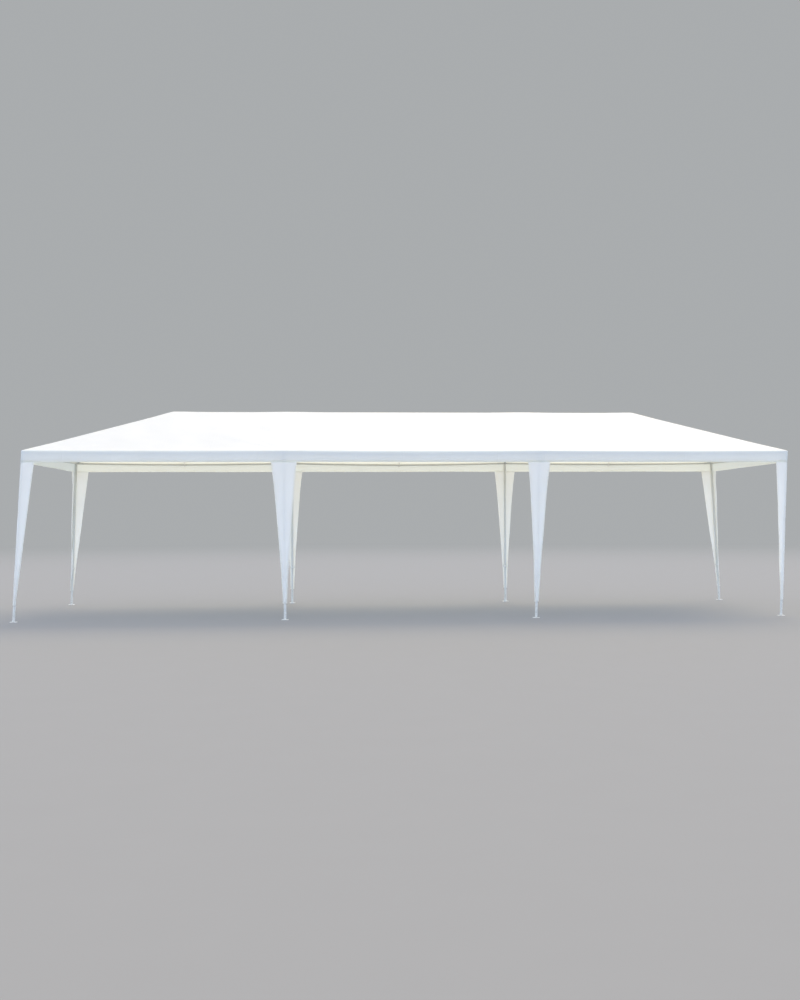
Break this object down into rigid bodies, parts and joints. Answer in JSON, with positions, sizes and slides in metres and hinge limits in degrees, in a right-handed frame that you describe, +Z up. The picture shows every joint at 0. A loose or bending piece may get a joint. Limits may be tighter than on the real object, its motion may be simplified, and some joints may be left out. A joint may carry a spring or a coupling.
{
  "type": "marquee tent",
  "caption": "Long party marquee with a hipped fabric roof, a valance and leg covers on a steel tube frame, open on all sides.",
  "frame": {"origin": "middle of the plan at ground level, under the foot plates", "axes": "+X along the length to the right as seen from the front, +Y from front to back, +Z up"},
  "size_m": [9.2464, 3.0364, 2.55],
  "materials": {
    "frame_steel": "satin powder coat",
    "connector_steel": "satin powder coat",
    "roof_cloth": "coated woven polyethylene",
    "cover_cloth": "coated woven polyethylene"
  },
  "bodies": {
    "root": {"corner_connector_back_left": "connector_steel", "corner_connector_back_right": "connector_steel", "corner_connector_front_left": "connector_steel", "corner_connector_front_right": "connector_steel", "eave_beam_back_left_bay": "frame_steel", "eave_beam_back_mid_bay": "frame_steel", "eave_beam_back_right_bay": "frame_steel", "eave_beam_front_left_bay": "frame_steel", "eave_beam_front_mid_bay": "frame_steel", "eave_beam_front_right_bay": "frame_steel", "eave_beam_left_end": "frame_steel", "eave_beam_right_end": "frame_steel", "eave_connector_back_mid_left": "connector_steel", "eave_connector_back_mid_right": "connector_steel", "eave_connector_front_mid_left": "connector_steel", "eave_connector_front_mid_right": "connector_steel", "hip_rafter_back_left": "frame_steel", "hip_rafter_back_right": "frame_steel", "hip_rafter_front_left": "frame_steel", "hip_rafter_front_right": "frame_steel", "leg_back_left": "frame_steel", "leg_back_mid_left": "frame_steel", "leg_back_mid_right": "frame_steel", "leg_back_right": "frame_steel", "leg_cover_back_left": "cover_cloth", "leg_cover_back_mid_left": "cover_cloth", "leg_cover_back_mid_right": "cover_cloth", "leg_cover_back_right": "cover_cloth", "leg_cover_front_left": "cover_cloth", "leg_cover_front_mid_left": "cover_cloth", "leg_cover_front_mid_right": "cover_cloth", "leg_cover_front_right": "cover_cloth", "leg_front_left": "frame_steel", "leg_front_mid_left": "frame_steel", "leg_front_mid_right": "frame_steel", "leg_front_right": "frame_steel", "peak_connector_left": "connector_steel", "peak_connector_right": "connector_steel", "rafter_back_mid_left": "frame_steel", "rafter_back_mid_right": "frame_steel", "rafter_front_mid_left": "frame_steel", "rafter_front_mid_right": "frame_steel", "ridge_connector_left": "connector_steel", "ridge_connector_right": "connector_steel", "ridge_tube_left": "frame_steel", "ridge_tube_mid": "frame_steel", "ridge_tube_right": "frame_steel", "roof_back": "roof_cloth", "roof_front": "roof_cloth", "roof_left": "roof_cloth", "roof_right": "roof_cloth", "valance_back": "cover_cloth", "valance_front": "cover_cloth", "valance_left": "cover_cloth", "valance_right": "cover_cloth"}
  },
  "joints": []
}
